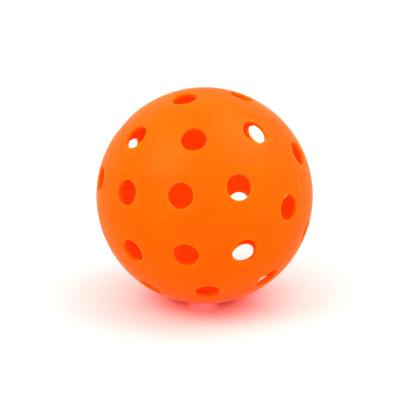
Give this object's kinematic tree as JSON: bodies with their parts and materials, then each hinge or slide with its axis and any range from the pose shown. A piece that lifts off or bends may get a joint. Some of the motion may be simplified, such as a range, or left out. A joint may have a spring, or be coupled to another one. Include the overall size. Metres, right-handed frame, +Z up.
{
  "type": "perforated court ball",
  "caption": "Hollow perforated plastic ball for paddle court games, two moulded half shells butt welded at the equator.",
  "frame": {"origin": "centre of the ball", "axes": "+Z up as the ball lies; the poles of the two half shells lie level on -Y (front shell) and +Y (back shell); the weld is in the XZ plane"},
  "size_m": [0.074, 0.074, 0.074],
  "materials": {
    "shell": "satin, fine mould texture",
    "weld": "satin, remelted"
  },
  "bodies": {
    "root": {"front_shell": "shell", "back_shell": "shell", "weld_bead": "weld"}
  },
  "joints": []
}
